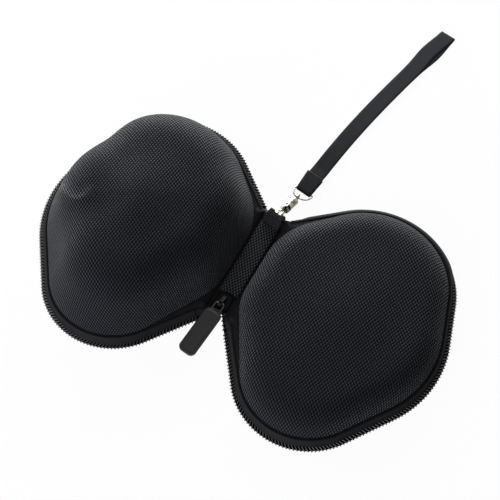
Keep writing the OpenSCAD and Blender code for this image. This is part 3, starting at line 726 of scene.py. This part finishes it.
def tooth_row(name, s, lift, side):
    """Turns of the coil at rim lengths s, raised by lift: each is a rounded bar that slants along the rim
    from the tape's edge out to the outline, with a super-elliptic section that swells at the head."""
    u = np.linspace(0.0, 1.0, 8)
    a = np.linspace(0.0, 2 * np.pi, 10, endpoint=False)
    swell = np.interp(u, [0, 0.45, 0.8, 0.95, 1.0], [0.8, 0.8, 1.0, 0.85, 0.35])
    width = TOOTH_WIDE * np.sign(np.cos(a)) * np.abs(np.cos(a)) ** TOOTH_POWER
    height = TOOTH_HIGH * np.sign(np.sin(a)) * np.abs(np.sin(a)) ** TOOTH_POWER
    # the head, the last 0.15 of a tooth, runs straight out
    slant = -TOOTH_LAG * np.clip(1 - u / 0.85, 0, 1)
    at, out = RIM.at(s)
    along = np.stack([-out[:, 1], out[:, 0]], -1)
    inset = TOOTH_ROOT - (TOOTH_ROOT - TOOTH_COVERED * covered(s, side)[:, None]) * u
    plan = (at[:, None, None] - out[:, None, None] * inset[..., None, None]
            + along[:, None, None] * (slant[:, None] + swell[:, None] * width[None])[None, ..., None])
    rise = np.interp(u, [0, 0.3, 1.0], [1.75, 1.6, 0.85])
    up = rise[None, :, None] + lift[:, None, None] + (swell[:, None] * height[None])[None]
    points = np.concatenate([plan, up[..., None]], -1)
    size = len(u) * len(a)
    first = (np.arange(len(s)) * size)[:, None]
    faces = (grid_faces(len(u), len(a), wrap_columns=True)[None] + first[..., None]).reshape(-1, 4)
    ring = np.arange(len(a))[None] + first
    return make_piece(name, sided(points, side), [faces, ring[:, ::-1], ring + size - len(a)], flip=side < 0)


class CASE_OT_rims(bpy.types.Operator):
    """Zipper tape, binding and coil of both rims, and the tape ends that cross the folds"""

    bl_idname = "case.rims"
    bl_label = "Rims"

    def execute(self, context):
        start, end = row_ends()
        for half, side in (("deep", -1), ("shallow", 1)):
            self.tape(half, side, start, end)
            self.binding(half, side, start, end)
            self.coil(half, side, start, end)
            for place, first, last in (("near", start, NEAR_REST), ("far", end, RIM.length - FAR_REST)):
                self.crossing(half, side, place, first, last)
        return {"FINISHED"}

    def tape(self, half, side, start, end):
        """The tape's section along the rim; where it lies over the coil, the flap's shift is added."""
        walk = np.linspace(start, end, 320)
        over = covered(walk, side) * np.clip((end - walk) / FLAP_END, 0.0, 1.0)
        points, uv = rim_sweep(walk, TAPE_SECTION + over[:, None, None] * TAPE_FLAP)
        piece = swept_piece(f"{half}_zip_tape", [(sided(points, side), uv)], flip=side < 0)
        dress(piece, "Coated zipper tape", f"{half}_half", [f"{half}_tape"])

    def binding(self, half, side, start, end):
        """A flat ring between the tape's inside and a line under the lining, with a rounded inner edge."""
        outside, _ = RIM.at(np.linspace(start, end, 240), SKIRT)
        hinge = np.array([outside[-1], (BINDING_X, BINDING_FAR), (BINDING_X, BINDING_NEAR), outside[0]])
        walk = np.linspace(0.0, lengths_along(hinge)[-1], 82)[1:-1]
        outside = np.concatenate([outside, at_lengths(hinge, walk)])
        dense, _ = FOOT.at(np.linspace(0.0, FOOT.length, 1441)[:-1], BINDING_INSET)
        angle, dense_angle = [np.arctan2(*(ring - MIDDLE).T[::-1]) for ring in (outside, dense)]
        order = np.argsort(dense_angle)
        inside = np.stack([np.interp(angle, dense_angle[order], dense[order, i], period=2 * np.pi)
                           for i in (0, 1)], -1)
        plan = outside[:, None] + (inside - outside)[:, None] * BINDING_SECTION[None, :, :1]
        height = np.broadcast_to(BINDING_SECTION[None, :, 1:], plan.shape[:2] + (1,))
        points = np.concatenate([plan, height], -1)
        rows, columns = points.shape[:2]
        piece = make_piece(f"{half}_seam_binding", sided(points, side),
                           grid_faces(rows, columns, wrap_rows=True, wrap_columns=True), points[..., :2],
                           flip=side < 0)
        dress(piece, "Coated zipper tape", f"{half}_half", [f"{half}_binding"])

    def coil(self, half, side, start, end):
        """Teeth at each pitch over a core strip, whose edge draws back toward the slider's end."""
        pitch = sizes().tooth_pitch / MM
        count = int((end - start - ROW_MARGIN) / pitch)
        s = start + (end - start - (count - 1) * pitch) / 2 + np.arange(count) * pitch
        walk = np.linspace(start, end, 320)
        edge = CORE_INSET + CORE_BACK * np.exp(-((walk - start) / CORE_OVER) ** 2)
        points, uv = rim_sweep(walk, CORE_SECTION + edge[:, None, None] * CORE_EDGE)
        piece = swept_piece(f"{half}_coil_core", [(sided(points, side), uv)], flip=side < 0)
        dress(piece, "Coil cord", f"{half}_half")
        piece = tooth_row(f"{half}_coil", s, np.zeros(count), side)
        dress(piece, "Nylon coil", f"{half}_half", [f"{half}_teeth"])

    def crossing(self, half, side, place, first, last):
        """The tape's end: its section turns from the rim's into a flat strip at the chain's height, with
        teeth and their cord."""
        share = np.linspace(0.0, 1.0, 24)
        ease = smooth_rise(share)[:, None, None]
        s = first + (last - first) * share
        flip = (side < 0) != (last < first)
        points, uv = rim_sweep(s, TAPE_SECTION * (1 - ease) + CHAIN_SECTION * ease)
        tape = swept_piece(f"{half}_{place}_tape_end", [(sided(points, side), uv)], flip)
        count = int(abs(last - first) / (sizes().tooth_pitch / MM))
        step = (np.arange(count) + 0.5) / count
        teeth = tooth_row(f"{half}_{place}_coil_end", first + (last - first) * step,
                          CHAIN_LIFT * smooth_rise(step), side)
        lift = np.concatenate([np.zeros_like(ease), CHAIN_LIFT * ease], -1)
        points, uv = rim_sweep(s, CORE_SECTION + (CORE_INSET + CORE_BACK) * CORE_EDGE + lift)
        core = swept_piece(f"{half}_{place}_core_end", [(sided(points, side), uv)], flip)
        bend_at_fold(tape, "Coated zipper tape")
        bend_at_fold(teeth, "Nylon coil")
        bend_at_fold(core, "Coil cord")


# Spine


# Half of the strip's section as (distance from the spine's middle, height), and the height of its crown
STRIP_SIDE = np.array([(7.0, 6.85), (7.1, 7.2), (6.9, 7.55), (5.5, 7.85), (3.0, 8.0)])
STRIP_CROWN = 8.05
# Near end and length of the strip
STRIP_NEAR, STRIP_LENGTH = -17.0, 56.3
# Share of its length from which the strip lifts over the loop's root, and how far
LIFT_FROM, LIFT = 0.88, 1.0
# Distances from the spine's middle between which the lift falls to nothing
LIFT_WHOLE, LIFT_NONE = 5.5, 6.9
# Distances from the spine's middle between which the shells shade the strip, and the light there
STRIP_SHADE = [5.6, 7.0], [1.0, 0.2]
# The fold's cloth: its ends, its inner and outer edge, and its reach either side of the fold line
FOLD_NEAR, FOLD_FAR, FOLD_INNER, FOLD_OUTER, FOLD_REACH = -33.0, 47.0, 5.4, 10.5, 1.6
# Height of the fold's cloth, how far it sags along the fold line, half the sag's width, and its thickness
FOLD_TOP, FOLD_SAG, FOLD_HALF, FOLD_THICK = 6.55, 0.35, 3.0, 0.35
# How far the hang loop and the strip's far end turn toward the shallow half, in degrees
LOOP_TURN = 9.0


class CASE_OT_spine(bpy.types.Operator):
    """Woven spine strip, the cloth in both folds and the lining under them"""

    bl_idname = "case.spine"
    bl_label = "Spine"

    def execute(self, context):
        self.strip()
        for half, side in (("deep", -1), ("shallow", 1)):
            self.fold(half, side)
        paint(["spine_lining"], "Fleece lining")
        return {"FINISHED"}

    def strip(self):
        """A strip that is crowned across and rounded at its edges; its far end slants with the loop and lifts
        over the loop's root."""
        section = np.concatenate([STRIP_SIDE * (-1, 1), [(0.0, STRIP_CROWN)], STRIP_SIDE[::-1]])
        x, z = section.T[:, None]
        t = np.linspace(0.0, 1.0, 90)[:, None]
        y = STRIP_NEAR + (STRIP_LENGTH - x * np.tan(np.radians(LOOP_TURN))) * t
        lift = LIFT * np.clip((t - LIFT_FROM) / (1 - LIFT_FROM), 0, 1) ** 2
        lift = lift * np.clip((LIFT_NONE - np.abs(x)) / (LIFT_NONE - LIFT_WHOLE), 0, 1)
        points = np.stack(np.broadcast_arrays(x, y, z + lift), -1)
        lit = np.interp(np.abs(points[..., 0]), *STRIP_SHADE)
        piece = swept_piece("spine_cloth", [(points, points[..., :2])], lit=lit)
        dress(piece, "Strip nylon lightened for shade", "spine", ["spine_strip"])

    def fold(self, half, side):
        """A band of tape cloth from under the shell's foot to under the strip, sagging by half a wave."""
        y = np.linspace(FOLD_NEAR, FOLD_FAR, 100)
        x = np.linspace(FOLD_INNER, FOLD_OUTER, 12)
        top = FOLD_TOP - FOLD_SAG * np.cos((x - FOLD_X) / FOLD_HALF * np.pi / 2).clip(0, 1)
        x, z = np.concatenate([x, x[::-1]]) * side, np.concatenate([top, top[::-1] - FOLD_THICK])
        points = np.stack(np.broadcast_arrays(x[None], y[:, None], z[None]), -1)
        piece = swept_piece(f"{half}_fold_cloth", [(points, points[..., :2])], flip=side < 0)
        bend_at_fold(piece, "Coated zipper tape")


# Pull


# The tab's width, length, thickness, corner radius and edge radius
TAB_WIDTH, TAB_LENGTH, TAB_THICK, TAB_CORNER, TAB_EDGE = 12.4, 34.0, 2.3, 3.9, 0.9
# Its upper face as (inset, height above the middle): the raised border and the sunk panel
TAB_FACE = [(1.35, 1.15), (1.6, 1.05), (1.75, 0.86), (2.2, 0.84), (3.59, 0.84)]
# Where the link turns on the slider, and the tab's start beyond it, slope and turn, both in degrees
PULL_AT, TAB_START, TAB_SLOPE, TAB_TURN = (0.0, -27.2, 11.0), 5.4, 13.0, 8.0


class CASE_OT_pull(bpy.types.Operator):
    """Rubber pull tab, and the finish of the slider and its link"""

    bl_idname = "case.pull"
    bl_label = "Pull"

    def execute(self, context):
        paint(["slider_body", "slider_bail"], "Matte black zinc")
        paint(["pull_link"], "Black enamelled zinc")
        paint(["chain_end"], "Coated zipper tape")
        self.tab()
        return {"FINISHED"}

    def tab(self):
        """A slab with round corners: rings of a rounded rectangle that shrink over a quarter round at
        the edge, a raised border and a sunk panel."""
        a = np.linspace(0, 2 * np.pi, 128, endpoint=False)
        out = np.stack([np.cos(a), np.sin(a)], -1)
        core = np.sign(out) * (TAB_WIDTH / 2 - TAB_CORNER, TAB_LENGTH / 2 - TAB_CORNER)
        turn = np.linspace(-np.pi / 2, np.pi / 2, 9)
        edge = np.stack([TAB_EDGE - TAB_EDGE * np.cos(turn),
                         (TAB_THICK / 2 - TAB_EDGE) * np.sign(turn) + TAB_EDGE * np.sin(turn)], -1)
        # the under side is flat in to the same inset as the panel
        profile = np.concatenate([[(TAB_FACE[-1][0], -TAB_THICK / 2)], edge, TAB_FACE])
        plan = core + out * (TAB_CORNER - profile[:, None, :1]) - (0.0, TAB_START + TAB_LENGTH / 2)
        points = np.concatenate([plan, np.broadcast_to(profile[:, None, 1:], plan.shape[:2] + (1,))], -1)
        rows, columns = points.shape[:2]
        points = turned(points @ rotation("X", np.radians(TAB_SLOPE)).T, TAB_TURN, PULL_AT)
        ring = np.arange(columns)[None]
        faces = [grid_faces(rows, columns, wrap_columns=True), ring[:, ::-1], ring + (rows - 1) * columns]
        piece = make_piece("rubber_pull", points, faces)
        dress(piece, "Moulded rubber", "pull", ["pull_tab"])


# Loop, hook and strap


# The loop's root along the fold, its length, and the step of its path
LOOP_ROOT, LOOP_LENGTH, LOOP_STEP = 36.0, 12.3, 0.35
# Thickness of the webbing of the loop, and the radius of its bends
LOOP_THICK, LOOP_BEND = 1.0, 1.4
# Height of the loop's bar, and the clear height either side of it
BAR_Z, LOOP_EYE = 11.4, 3.0
# Where the loop's webbing starts in the strip, and where its lower and its upper layer bend up from there
LOOP_START, LEAVE_LOW, LEAVE_HIGH = 2.4, 4.0, 3.4
# Heights of the two layers in the strip, and the distances from the fold's outside at which they turn level
LOOP_LOW, LOOP_HIGH, LEVEL_LOW, LEVEL_HIGH = 7.3, 8.32, 5.25, 4.95
# The hook's slot: its depth from the fold's outside and its width, and place and width of the edges beside it
SLOT_DEPTH, SLOT_WIDTH, EDGE_X, EDGE_WIDTH = 1.8, 5.6, 4.4, 3.2
# The strap: place of the ring's bar, turn in degrees, start beyond the bar, run to the fold and width
STRAP_AT, STRAP_TURN = (6.772, 77.052, 0.0), 9.5
STRAP_START, STRAP_RUN, STRAP_WIDTH = 1.6, 167.8, 11.6
# Length that the sideways shape goes by; its drift, bow and shift, and how much the bow leans to the ring
STRAP_SPAN, STRAP_DRIFT, STRAP_BOW, STRAP_SHIFT, BOW_LEAN = 171.0, 3.5, 5.2, -0.3, 0.6
# How far the strap's layers spread before the fold, and at which share of the span and over which
SPREAD, SPREAD_AT, SPREAD_OVER = 1.6, 0.87, 0.08
# How high the strap's start lies on its end piece, where it comes down, and over which length
STRAP_RISE, RISE_END, RISE_RUN = 0.9, 14.0, 7.0
# Heights of the strap's lower and upper layer and of the middle between them, and a layer's thickness
LAYER_LOW, LAYER_HIGH, LAYER_MIDDLE, LAYER_THICK = 0.5, 1.5, 1.0, 0.98
# The strap's fold: how far it starts inside the layers' ends, its radius and its thickness
TIP_BACK, TIP_BEND, TIP_THICK = 0.4, 0.52, 0.94
# The strap's end piece: length, height and radius of its bend round the ring's bar, and thickness
END_LENGTH, END_MIDDLE, END_BEND, END_THICK = 14.0, 1.9, 1.45, 0.88
# Its left and right edge at two distances from the bar
END_AT, END_LEFT, END_RIGHT = (-3.0, 15.0), (-5.85, -8.15), (5.25, 4.95)


class CASE_OT_hook(bpy.types.Operator):
    """Nickel finish of the loop's bar, the snap hook, the swivel and the ring"""

    bl_idname = "case.hook"
    bl_label = "Snap hook and ring"

    def execute(self, context):
        paint(["loop_bar", "hook_body", "hook_gate", "gate_pin", "gate_spring", "swivel_eye", "strap_ring"],
              "Nickel plate")
        return {"FINISHED"}


class CASE_OT_loop(bpy.types.Operator):
    """Hang loop of webbing at the spine's far end"""

    bl_idname = "case.loop"
    bl_label = "Hang loop"

    def execute(self, context):
        self.webbing()
        return {"FINISHED"}

    def webbing(self):
        """Webbing that runs out along the under side, turns up at the fold and comes back on top; its middle
        stops short of the fold, which leaves the hook's slot."""
        low, high = BAR_Z - LOOP_EYE - LOOP_THICK / 2, BAR_Z + LOOP_EYE + LOOP_THICK / 2
        end = LOOP_LENGTH - LOOP_THICK / 2
        corners = [(LOOP_START, LOOP_LOW), (LEAVE_LOW, LOOP_LOW), (LOOP_LENGTH - LEVEL_LOW, low), (end, low),
                   (end, high), (LOOP_LENGTH - LEVEL_HIGH, high), (LEAVE_HIGH, LOOP_HIGH),
                   (LOOP_START, LOOP_HIGH)]
        path = bend_path(corners, LOOP_BEND, LOOP_STEP)
        under = path[:, 1] < BAR_Z
        whole = path[:, 0] <= LOOP_LENGTH - SLOT_DEPTH
        grids = []
        for rows, x, width in ((path, -EDGE_X, EDGE_WIDTH), (path, EDGE_X, EDGE_WIDTH),
                               (path[under & whole], 0.0, SLOT_WIDTH),
                               (path[~under & whole], 0.0, SLOT_WIDTH)):
            line = np.concatenate([np.full((len(rows), 1), x), rows], 1)
            points, uv = ribbon(line, width, LOOP_THICK)
            # the ribs run on across the edges and the middle
            before = LOOP_STEP * np.argmax((path == rows[0]).all(1))
            grids.append((turned(points, LOOP_TURN, (0.0, LOOP_ROOT, 0.0)), uv + (x, before)))
        piece = swept_piece("loop_webbing", grids)
        dress(piece, "Ribbed webbing", "spine", ["hang_loop"])


class CASE_OT_strap(bpy.types.Operator):
    """Wrist strap of doubled webbing and its end piece on the ring"""

    bl_idname = "case.strap"
    bl_label = "Wrist strap"

    def execute(self, context):
        band, path = self.band()
        end = self.end_piece()
        return {"FINISHED"}

    def band(self):
        """Two layers whose middle line drifts and bows sideways, and which spread apart by a bell curve
        before the fold that joins them. Returns the piece and its middle line in metres."""
        y = STRAP_START + STRAP_RUN * np.linspace(0.0, 1.0, 160)
        share = y / STRAP_SPAN
        bow = STRAP_BOW * np.sin(np.pi * share) * (1 - BOW_LEAN * share)
        middle = STRAP_DRIFT * share - bow + STRAP_SHIFT
        spread = SPREAD * np.exp(-((share - SPREAD_AT) / SPREAD_OVER) ** 2)
        rise = STRAP_RISE * (1 - np.clip((y - RISE_END) / RISE_RUN, 0.0, 1.0))
        bend = np.linspace(-np.pi / 2, np.pi / 2, 12)
        fold = np.stack([np.full(len(bend), middle[-1]), y[-1] - TIP_BACK + TIP_BEND * np.cos(bend),
                         LAYER_MIDDLE + TIP_BEND * np.sin(bend)], -1)
        low = np.stack([middle + spread, y, rise + LAYER_LOW], -1)
        high = np.stack([middle - spread, y, rise + LAYER_HIGH], -1)
        grids = []
        for line, thick in ((low, LAYER_THICK), (high, LAYER_THICK), (fold, TIP_THICK)):
            points, uv = ribbon(line, STRAP_WIDTH, thick)
            grids.append((turned(points, STRAP_TURN, STRAP_AT), uv))
        piece = swept_piece("strap_webbing", grids)
        dress(piece, "Ribbed webbing", "strap", ["wrist_strap"])
        return piece, turned(np.stack([middle, y, rise + LAYER_MIDDLE], -1), STRAP_TURN, STRAP_AT) * MM

    def end_piece(self):
        """Webbing that lies under the band, folds round the ring's bar and lies over the band; it widens
        evenly along its length, more to the left."""
        out = np.linspace(END_LENGTH, 0.0, 30)
        bend = np.linspace(-np.pi / 2, -3 * np.pi / 2, 16)
        line = np.concatenate([
            np.stack([out, np.full(len(out), END_MIDDLE - END_BEND)], -1),
            np.stack([END_BEND * np.cos(bend), END_MIDDLE + END_BEND * np.sin(bend)], -1)[1:-1],
            np.stack([out[::-1], np.full(len(out), END_MIDDLE + END_BEND)], -1)])
        left = np.interp(line[:, 0], END_AT, END_LEFT)
        right = np.interp(line[:, 0], END_AT, END_RIGHT)
        line = np.concatenate([((left + right) / 2)[:, None], line], 1)
        points, uv = ribbon(line, right - left, END_THICK)
        piece = swept_piece("strap_end_webbing", [(turned(points, STRAP_TURN, STRAP_AT), uv)])
        return dress(piece, "Ribbed webbing", "strap", ["strap_end"])


# Stage


# Half the floor's width and its height in millimetres, and how much of the surround it lets through
FLOOR_HALF, FLOOR_Z, FLOOR_CLEAR = 4000.0, -0.3, 0.96
# Strength of the white surround as light on the case, and as seen directly or mirrored
SURROUND_LIGHT, SURROUND_SEEN = 0.1, 1.0
# Lamps as (name, place, size, power): a broad low one behind, a weaker one at the left, a faint one in front
LAMPS = (("Back lamp", (-0.5, 1.1, 0.12), 1.0, 38.0),
         ("Left lamp", (-1.0, 0.2, 0.35), 1.0, 9.5),
         ("Front lamp", (-0.15, -1.1, 0.2), 0.9, 20.0))
LAMPS_AIM = Vector((0, 0, 0.02))
# The photograph's view: direction in degrees, distance in metres, aim in millimetres, lens and sensor
VIEW_AZIMUTH, VIEW_ELEVATION, VIEW_DISTANCE = 28.8, 62.94, 0.831
VIEW_AIM, VIEW_LENS, VIEW_SENSOR = np.array([-4.7, 20.5, 0.0]), 89.7, 36.0


class CASE_OT_stage(bpy.types.Operator):
    """Pale floor, soft light, white surround and the camera"""

    bl_idname = "case.stage"
    bl_label = "Stage"

    def execute(self, context):
        self.floor()
        self.light(context.scene)
        self.camera(context.scene)
        context.scene.view_settings.view_transform = "Standard"
        return {"FINISHED"}

    def floor(self):
        """A wide sheet that lets most of the white surround through, so that it is white with a faint shadow
        and what folds below it still shows."""
        x = np.array([-FLOOR_HALF, FLOOR_HALF])
        points = np.stack(np.meshgrid(x, x, np.array([FLOOR_Z]), indexing="ij"), -1).reshape(-1, 3)
        sheet = make_piece("floor", points, np.array([[0, 2, 3, 1]]))
        material, tree = new_material("Pale table")
        paper = node(tree, "ShaderNodeBsdfDiffuse", [("Color", linear(colours().floor))])
        clear = node(tree, "ShaderNodeBsdfTransparent")
        both = node(tree, "ShaderNodeMixShader", [(0, FLOOR_CLEAR), (1, paper.outputs[0]),
                                                  (2, clear.outputs[0])])
        node(tree, "ShaderNodeOutputMaterial", [("Surface", both.outputs[0])])
        sheet.data.materials.append(material)

    def light(self, scene):
        """A surround that is white to the eye, through the floor and in gloss, and dim as light on the case,
        and square lamps that face the case."""
        world = bpy.data.worlds.new("Surround")
        world.use_nodes = True
        tree = world.node_tree
        tree.nodes.clear()
        ray = node(tree, "ShaderNodeLightPath")
        seen = ray.outputs["Is Camera Ray"]
        for kind in ("Is Transmission Ray", "Is Glossy Ray"):
            either = node(tree, "ShaderNodeMath", [(0, seen), (1, ray.outputs[kind])], operation="MAXIMUM")
            seen = either.outputs[0]
        strength = node(tree, "ShaderNodeMapRange", [(0, seen), (3, SURROUND_LIGHT), (4, SURROUND_SEEN)])
        sky = node(tree, "ShaderNodeBackground", [("Color", (1, 1, 1, 1)), ("Strength", strength.outputs[0])])
        node(tree, "ShaderNodeOutputWorld", [("Surface", sky.outputs[0])])
        scene.world = world
        for name, place, size, power in LAMPS:
            lamp = bpy.data.lights.new(name, "AREA")
            lamp.size = size
            lamp.energy = power
            self.aim(scene, bpy.data.objects.new(name, lamp), Vector(place), LAMPS_AIM - Vector(place))

    def camera(self, scene):
        """The photograph's view: direction, distance and lens fitted to the rims' outline."""
        azimuth, elevation = np.radians(VIEW_AZIMUTH), np.radians(VIEW_ELEVATION)
        level = np.cos(elevation)
        back = np.array([np.sin(azimuth) * level, -np.cos(azimuth) * level, np.sin(elevation)])
        data = bpy.data.cameras.new("Photo camera")
        data.sensor_width = VIEW_SENSOR
        data.lens = VIEW_LENS
        data.clip_start = 0.01
        holder = bpy.data.objects.new("Photo camera", data)
        self.aim(scene, holder, VIEW_AIM * MM + back * VIEW_DISTANCE, Vector(-back))
        scene.camera = holder

    def aim(self, scene, holder, place, way):
        """Puts a lamp or camera in its place, looking along way."""
        holder.location = place
        holder.rotation_euler = way.to_track_quat("-Z", "Y").to_euler()
        scene.collection.objects.link(holder)


class CASE_PT_panel(bpy.types.Panel):
    """Lists the case's builders, sizes and colours"""

    bl_idname = "CASE_PT_panel"
    bl_label = "Headphone case"
    bl_space_type = "VIEW_3D"
    bl_region_type = "UI"
    bl_category = "Case"

    def draw(self, context):
        for group in (context.scene.case_sizes, context.scene.case_colours):
            for key in group.__annotations__:
                self.layout.prop(group, key)
        for operator in BUILDERS:
            self.layout.operator(operator.bl_idname)


BUILDERS = (CASE_OT_stage, CASE_OT_shells, CASE_OT_rims, CASE_OT_spine, CASE_OT_pull, CASE_OT_hook,
            CASE_OT_loop, CASE_OT_strap)
CLASSES = (CaseSizes, CaseColours, *BUILDERS, CASE_PT_panel)


def register():
    for cls in CLASSES:
        bpy.utils.register_class(cls)
    bpy.types.Scene.case_sizes = bpy.props.PointerProperty(type=CaseSizes)
    bpy.types.Scene.case_colours = bpy.props.PointerProperty(type=CaseColours)


def unregister():
    del bpy.types.Scene.case_colours
    del bpy.types.Scene.case_sizes
    for cls in reversed(CLASSES):
        bpy.utils.unregister_class(cls)


def main():
    register()
    bpy.ops.case.stage()
    bpy.ops.case.shells()
    bpy.ops.case.rims()
    bpy.ops.case.spine()
    bpy.ops.case.pull()
    bpy.ops.case.hook()
    bpy.ops.case.loop()
    bpy.ops.case.strap()


if __name__ == "__main__":
    main()
